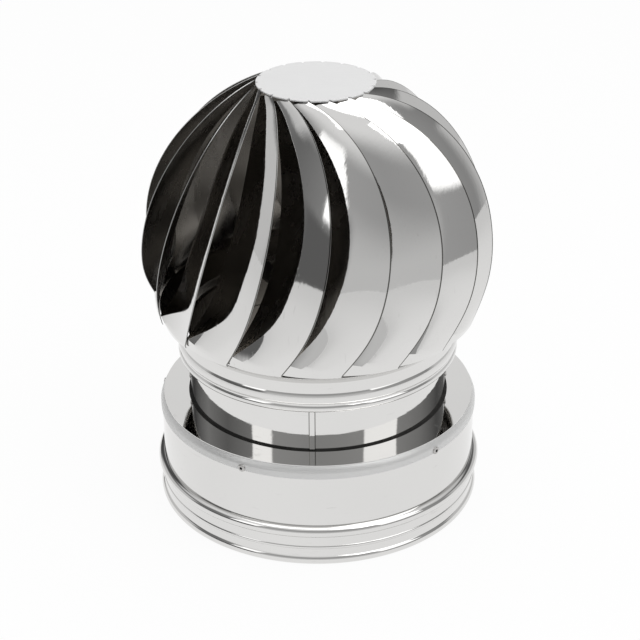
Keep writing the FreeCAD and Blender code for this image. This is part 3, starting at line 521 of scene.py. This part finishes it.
def shadowGapSection(s):
    # a flat dark ring where the plate meets the neck, a painted shadow for the gap at that joint
    return [(s["inner"], s["base"]), (s["outer"], s["base"]), (s["outer"], s["base"] + s["lip"]),
            (s["inner"], s["base"] + s["rise"])]


settle(spunPiece("neck_shadow_gap_ring", shadowGapSection(seal), steelFinishes["stove_seal"]), "base", "polished_stainless")

gapFloor = {"inner": 100.65, "outer": 124.35, "gauge": 0.6, "level": 36.0, "flange": 10.0}


def gapFloorSection(f):
    g = f["gauge"]
    top = f["level"] + f["flange"]
    return [
        (f["inner"], f["level"]), (f["outer"], f["level"]), (f["outer"], top), (f["outer"] - g, top),
        (f["outer"] - g, f["level"] + g), (f["inner"] + g, f["level"] + g), (f["inner"] + g, top), (f["inner"], top),
    ]


gapFloorRing = spunPiece("gap_floor_sheet", gapFloorSection(gapFloor), spunFinish)
settle(gapFloorRing, "base", "polished_stainless", "gap_floor_ring")
print("base shells spun")

collar = {"outer": 109.0, "gauge": 0.6, "base": 122.6, "rollHeight": 5.2, "rollBulge": 1.1,
          "beadBase": 129.0, "beadTop": 138.0, "beadBulge": 1.4, "flareBase": 147.0, "flareGauge": 0.85,
          "seatLevel": 159.45, "seatHeight": 3.0, "seatInset": 2.6}
blade = {
    "count": 18, "turn": 8.2, "gauge": 0.5, "globeRadius": 135.0, "globeLevel": 212.0,
    "footLevel": 159.5, "footHeel": 1.5, "footHeight": 12.0, "topRadius": 43.2, "topTurn": -15.0,
    "bowLevel": 280.0, "bowTurn": 16.5, "width": 46.0, "tilt": 40.0, "tiltEase": 0.5, "lap": 0.7,
    "recess": 1.6, "camber": 2.0, "stations": [0.16, 0.3, 0.45, 0.6, 0.74, 0.86, 0.95, 1.0],
    "rows": 64, "columns": 14, "rim": 0.9,
}


def globeRadiusAt(level):
    return math.sqrt(blade["globeRadius"] ** 2 - (level - blade["globeLevel"]) ** 2)


def collarSection(c):
    g = c["gauge"]
    inner = c["outer"] - g
    seatTop = c["seatLevel"] + c["seatHeight"]
    seat = globeRadiusAt(c["seatLevel"]) - c["seatInset"]
    seatLip = globeRadiusAt(seatTop) - c["seatInset"]
    rollTop = c["base"] + c["rollHeight"]
    return [
        (c["outer"], c["base"], c["rollBulge"]), (c["outer"], rollTop),
        (c["outer"], c["beadBase"], c["beadBulge"]), (c["outer"], c["beadTop"]),
        (c["outer"], c["flareBase"]), (seat, c["seatLevel"]), (seatLip, seatTop),
        (seatLip - c["flareGauge"], seatTop), (seat - c["flareGauge"], c["seatLevel"] + c["flareGauge"] / 4),
        (inner, c["flareBase"] + c["flareGauge"] / 4),
        (inner, c["beadTop"] - g, -c["beadBulge"]), (inner, c["beadBase"] + g),
        (inner, rollTop - g, -c["rollBulge"]), (inner, c["base"] + g),
    ]


lowerRing = spunPiece("lower_ring_shell", collarSection(collar), flueFinish)
settle(lowerRing, "rotor", "polished_stainless", "lower_ring")


def unit(vector):
    return vector / np.linalg.norm(vector)


def turnedAbout(point, degrees):
    c, s = math.cos(math.radians(degrees)), math.sin(math.radians(degrees))
    return np.array([c * point[0] - s * point[1], s * point[0] + c * point[1], point[2]])


def arcThrough(start, middle, stop):
    # the arc through three points, as a function of the share of the way along it, and its length
    a, b = middle - start, stop - start
    normal = np.cross(a, b)
    toCentre = (np.cross(normal, a) * b.dot(b) + np.cross(b, normal) * a.dot(a)) / (2 * normal.dot(normal))
    centre = start + toCentre
    radius = np.linalg.norm(toCentre)
    first = unit(start - centre)
    second = np.cross(unit(normal), first)
    ends = stop - centre
    sweep = math.atan2(ends.dot(second), ends.dot(first)) % (2 * math.pi)

    def along(share):
        return centre + radius * (first * math.cos(sweep * share) + second * math.sin(sweep * share))

    return along, radius * sweep


def splined(knots, points, wanted):
    # a natural cubic curve through rows of points
    gaps = np.diff(knots)
    count = len(knots)
    system = np.eye(count)
    right = np.zeros((count,) + points.shape[1:])
    for i in range(1, count - 1):
        system[i, i - 1:i + 2] = gaps[i - 1], 2 * (gaps[i - 1] + gaps[i]), gaps[i]
        right[i] = 6 * ((points[i + 1] - points[i]) / gaps[i] - (points[i] - points[i - 1]) / gaps[i - 1])
    bends = np.linalg.solve(system, right.reshape(count, -1)).reshape(right.shape)
    rows = []
    for t in wanted:
        i = min(np.searchsorted(knots, t, side="right") - 1, count - 2)
        u, v, gap = t - knots[i], knots[i + 1] - t, gaps[i]
        rows.append((bends[i] * v ** 3 + bends[i + 1] * u ** 3) / (6 * gap)
                    + (points[i] / gap - bends[i] * gap / 6) * v + (points[i + 1] / gap - bends[i + 1] * gap / 6) * u)
    return np.array(rows)


def bladeGrid(b):
    centre = np.array([0, 0, b["globeLevel"]])
    span = 360 / b["count"] + b["lap"]
    creaseLevel = b["footLevel"] + b["footHeel"]
    topLevel = b["globeLevel"] + math.sqrt(b["globeRadius"] ** 2 - b["topRadius"] ** 2)
    start = polar(0, globeRadiusAt(creaseLevel), creaseLevel)
    bow = polar(b["bowTurn"], globeRadiusAt(b["bowLevel"]), b["bowLevel"])
    outerPoint, edgeLength = arcThrough(start, bow, polar(b["topTurn"], b["topRadius"], topLevel))
    half = math.radians(span / 2)
    footWidth = 2 * globeRadiusAt(creaseLevel) * math.sin(half)
    topWidth = 2 * b["topRadius"] * math.sin(half)
    swell = b["width"] - (footWidth + topWidth) / 2
    topTilt = math.degrees(half) + math.degrees(math.asin(b["recess"] / topWidth))
    across = np.linspace(0, 1, b["columns"] + 1)
    # this strip carries the painted shadow line
    across = np.insert(across, 1, b["rim"] / b["width"])[:, None]  # a narrow strip along the outer edge

    def strip(corner, edge, normal, camber):
        return corner + (edge - corner) * across + normal * camber * 4 * across * (1 - across)

    def innerPoint(share):
        corner = outerPoint(share)
        outward = unit(corner - centre)
        around = unit(np.cross([0, 0, 1], outward))
        swing = max(math.sin(math.pi * share), 0)
        width = footWidth + (topWidth - footWidth) * share + swell * swing
        tilt = math.radians(topTilt + (b["tilt"] - topTilt) * swing ** b["tiltEase"])
        return corner - around * width * math.cos(tilt) - outward * width * math.sin(tilt)

    def footStrip(corner, neighbour):
        before = turnedAbout(neighbour, -span)
        edge = before - unit(before - centre) * b["recess"]
        width = unit(edge - corner)
        normal = (corner + edge) / 2 - centre
        normal = unit(normal - width * normal.dot(width))
        camber = (edge - corner).dot(edge - corner) / (8 * globeRadiusAt(creaseLevel))
        return strip(corner, edge, normal, camber)

    heel = polar(0, globeRadiusAt(b["footLevel"]), b["footLevel"])
    bottom = footStrip(heel, heel)
    crease = footStrip(start, outerPoint(b["footHeight"] / edgeLength))
    strips = [crease]
    for share in b["stations"]:
        corner, edge = outerPoint(share), innerPoint(share)
        ahead, behind = min(share + 0.01, 1), share - 0.01
        along = outerPoint(ahead) + innerPoint(ahead) - outerPoint(behind) - innerPoint(behind)
        normal = unit(np.cross(edge - corner, along))
        normal = normal * math.copysign(1, normal.dot(corner - centre))
        camber = b["camber"] + (topWidth ** 2 / (8 * b["topRadius"]) - b["camber"]) * math.cos(math.pi * share) ** 2
        strips.append(strip(corner, edge, normal, camber))
    strips = np.array(strips)
    middles = strips.mean(axis=1)
    knots = np.concatenate([[0], np.cumsum(np.linalg.norm(np.diff(middles, axis=0), axis=1))])
    body = splined(knots, strips, np.linspace(0, knots[-1], b["rows"] + 1))
    foot = [bottom + (crease - bottom) * share for share in (0, 1 / 3, 2 / 3)]
    return np.concatenate([foot, body])


def bladeMesh(b):
    outside = bladeGrid(b)
    rows, columns = outside.shape[:2]
    along = np.gradient(outside, axis=0)
    sideways = np.gradient(outside, axis=1)
    normals = np.cross(along, sideways)
    normals /= np.linalg.norm(normals, axis=2)[:, :, None]
    inside = outside - normals * b["gauge"]
    points = np.concatenate([outside.reshape(-1, 3), inside.reshape(-1, 3)]) * mm

    def at(row, column, layer):
        return layer * rows * columns + row * columns + column

    faces, hollow, cut, rim = [], [], [], []
    for row in range(rows - 1):
        for column in range(columns - 1):
            for layer in (0, 1):
                face = [at(row, column, layer), at(row, column + 1, layer),
                        at(row + 1, column + 1, layer), at(row + 1, column, layer)]
                faces.append(face if layer == 1 else face[::-1])
                # the inner layer gets the dark hollow tone, which is painted shade
                hollow.append(layer)
                cut.append(0)
                # the first outer column is painted as a shadow line
                rim.append(1 if column == 0 and layer == 0 else 0)
        for column in (0, columns - 1):
            face = [at(row, column, 0), at(row + 1, column, 0), at(row + 1, column, 1), at(row, column, 1)]
            faces.append(face[::-1] if column == 0 else face)
            hollow.append(0)
            cut.append(1)
            rim.append(0)
    for column in range(columns - 1):
        for row in (0, rows - 1):
            face = [at(row, column, 0), at(row, column, 1), at(row, column + 1, 1), at(row, column + 1, 0)]
            faces.append(face[::-1] if row == 0 else face)
            hollow.append(0)
            cut.append(1)
            rim.append(0)
    mesh = bpy.data.meshes.new("blade")
    mesh.from_pydata([tuple(p) for p in points], [], faces)
    mesh.attributes.new("hollow_side", "FLOAT", "FACE").data.foreach_set("value", hollow)
    mesh.attributes.new("cut_edge", "FLOAT", "FACE").data.foreach_set("value", cut)
    mesh.attributes.new("dark_rim", "FLOAT", "FACE").data.foreach_set("value", rim)
    mesh.shade_smooth()
    mesh.set_sharp_from_angle(angle=math.radians(35))
    return mesh


blades = bakedPiece("rotor_blades", bladeMesh(blade), copies,
                    {"Count": blade["count"], "Turn": math.radians(blade["turn"]), "Material": bladeFinish})
settle(blades, "rotor", "polished_stainless", *["blade_%02d" % (k + 1) for k in range(blade["count"])])
print("blades made")

for subpart in frame["record"]["subparts"]:
    node = frame["nodes"][subpart["node"]]
    finish = steelFinishes.get(subpart["material_slot"], spunFinish)
    for slot in node.material_slots:
        slot.material = finish
for slot in frame["nodes"]["top_disc"].material_slots:
    slot.material = satinFinishes["satin_disc_sheet"]

studio = {"floorSize": 30.0, "floorTone": (0.86, 0.86, 0.86, 1), "cameraWhite": 0.93, "glossWhite": 0.95,
          "sheetRadius": 0.26, "sheetEdge": 0.62, "farShade": 0.42}


def studioFloor(s):
    material, sheet = newFinish("studio_floor")
    rays = sheet.node("ShaderNodeLightPath")
    plain = sheet.node("ShaderNodeBsdfDiffuse", None, {"Color": s["floorTone"]})
    white = sheet.node("ShaderNodeEmission", None, {"Color": (1, 1, 1, 1), "Strength": 1.0})
    # a round white sheet under the part, and a greyer floor past it that only the polished metal shows
    place = sheet.node("ShaderNodeTexCoord").out("Object")
    reach = sheet.node("ShaderNodeVectorMath", {"operation": "LENGTH"}, {0: place}).out("Value")
    bright = sheet.between(reach, s["sheetRadius"], s["sheetEdge"], s["glossWhite"], s["farShade"])
    share = rays.out("Is Camera Ray") * s["cameraWhite"] + rays.out("Is Glossy Ray") * bright
    mixed = sheet.node("ShaderNodeMixShader", None, {0: share, 1: plain, 2: white})
    sheet.node("ShaderNodeOutputMaterial", None, {"Surface": mixed})
    mesh = bpy.data.meshes.new("studio_floor")
    half = s["floorSize"] / 2
    mesh.from_pydata([(-half, -half, 0), (half, -half, 0), (half, half, 0), (-half, half, 0)], [], [(0, 1, 2, 3)])
    mesh.materials.append(material)
    floor = bpy.data.objects.new("studio_floor", mesh)
    scene.collection.objects.link(floor)


studioFloor(studio)

room = {
    "ceiling": 0.9, "ceilingFrom": 0.62, "ceilingTo": 0.84,
    # wall shades by the turn from the front, positive to the right
    "walls": [(-180, 0.9), (-169, 0.85), (-162, 0.12), (-150, 0.06), (-118, 0.28), (-90, 0.17), (-66, 0.26),
              (-40, 0.42), (0, 0.38), (40, 0.42), (78, 0.36), (105, 0.27), (135, 0.1), (162, 0.15), (169, 0.85),
              (180, 0.9)],
    "windows": [(-62, -42), (43, 75)], "windowShade": 1.55, "windowSpan": (0.36, 0.74),
    "nook": (-78, -42), "nookShade": 0.13, "nookSpan": (0.28, 0.36),
    "sideLights": [(98, 168), (-138, -92)], "sideShade": 0.66, "sideBand": (0.43, 0.6),
    "skirt": (-42, 42), "skirtShade": 0.65, "skirtSpan": (0.1, 0.45),
}


def studioRoom(r):
    world = bpy.data.worlds.new("studio_room")
    scene.world = world
    world.use_nodes = True
    sheet = NodeSheet(world.node_tree)
    rays = sheet.node("ShaderNodeLightPath")
    way = sheet.node("ShaderNodeSeparateXYZ", None, {0: sheet.node("ShaderNodeTexCoord").out("Generated")})
    toRight, toBack, up = way.out("X"), way.out("Y"), way.out("Z")
    turn = way.sum("ARCTAN2", toRight, 0 - toBack) * (180 / math.pi)
    stops = [((angle + 180) / 360, shade) for angle, shade in r["walls"]]
    walls = sheet.node("ShaderNodeValToRGB", {"stops": stops}, {"Fac": (turn + 180) / 360})

    def within(value, low, high, ease):  # 1 from low to high, with soft ends
        return sheet.between(value, low - ease, low + ease) * (1 - sheet.between(value, high - ease, high + ease))

    skirt = within(turn, *r["skirt"], 4) * (1 - sheet.between(up, *r["skirtSpan"]))
    shade = walls + skirt * (r["skirtShade"] - walls)
    nook = within(turn, *r["nook"], 6) * (1 - sheet.between(up, *r["nookSpan"]))
    shade = shade + nook * (r["nookShade"] - shade)
    for low, high in r["windows"]:
        pane = within(turn, low, high, 1.0) * within(up, *r["windowSpan"], 0.03)
        shade = shade + pane * (r["windowShade"] - shade)
    for low, high in r["sideLights"]:
        side = within(turn, low, high, 6) * (1 - within(up, *r["sideBand"], 0.03))
        shade = shade + side * (r["sideShade"] - shade)
    shade = shade + sheet.between(up, r["ceilingFrom"], r["ceilingTo"]) * (r["ceiling"] - shade)
    level = shade + rays.out("Is Camera Ray") * (1 - shade)
    light = sheet.node("ShaderNodeBackground", None, {"Color": (1, 1, 1, 1), "Strength": level})
    sheet.node("ShaderNodeOutputWorld", None, {"Surface": light})


studioRoom(room)

softboxes = {
    "key_softbox": {"place": (0.86, -0.57, 1.7), "aim": (0, 0, 0.2), "width": 1.4, "height": 1.0, "radiance": 1.6},
    "top_softbox": {"place": (0, 0.1, 1.9), "aim": (0, 0, 0.2), "width": 1.6, "height": 1.6, "radiance": 1.2},
}


def softLight(name, s):
    lamp = bpy.data.lights.new(name, "AREA")
    lamp.shape = "RECTANGLE"
    lamp.size = s["width"]
    lamp.size_y = s["height"]
    lamp.energy = s["radiance"] * math.pi * s["width"] * s["height"]
    holder = bpy.data.objects.new(name, lamp)
    scene.collection.objects.link(holder)
    holder.location = s["place"]
    holder.rotation_euler = (Vector(s["aim"]) - Vector(s["place"])).to_track_quat("-Z", "Y").to_euler()


for softboxName, softbox in softboxes.items():
    softLight(softboxName, softbox)

lens = {"distance": 1.3, "pitch": 26.29, "roll": -0.38, "aimHeight": 0.17, "focal": 93.6, "sensor": 36,
        "shiftX": 0.0042, "shiftY": -0.0486}


def photoCamera(c):
    data = bpy.data.cameras.new("photo_camera")
    data.lens = c["focal"]
    data.sensor_width = c["sensor"]
    data.shift_x = c["shiftX"]
    data.shift_y = c["shiftY"]
    data.clip_start = 0.05
    data.clip_end = 100
    camera = bpy.data.objects.new("photo_camera", data)
    scene.collection.objects.link(camera)
    pitch = math.radians(c["pitch"])
    camera.location = (0, -c["distance"] * math.cos(pitch), c["aimHeight"] + c["distance"] * math.sin(pitch))
    turn = Matrix.Rotation(math.pi / 2 - pitch, 3, "X") @ Matrix.Rotation(math.radians(c["roll"]), 3, "Z")
    camera.rotation_euler = turn.to_euler()
    scene.camera = camera


photoCamera(lens)
print("studio ready")
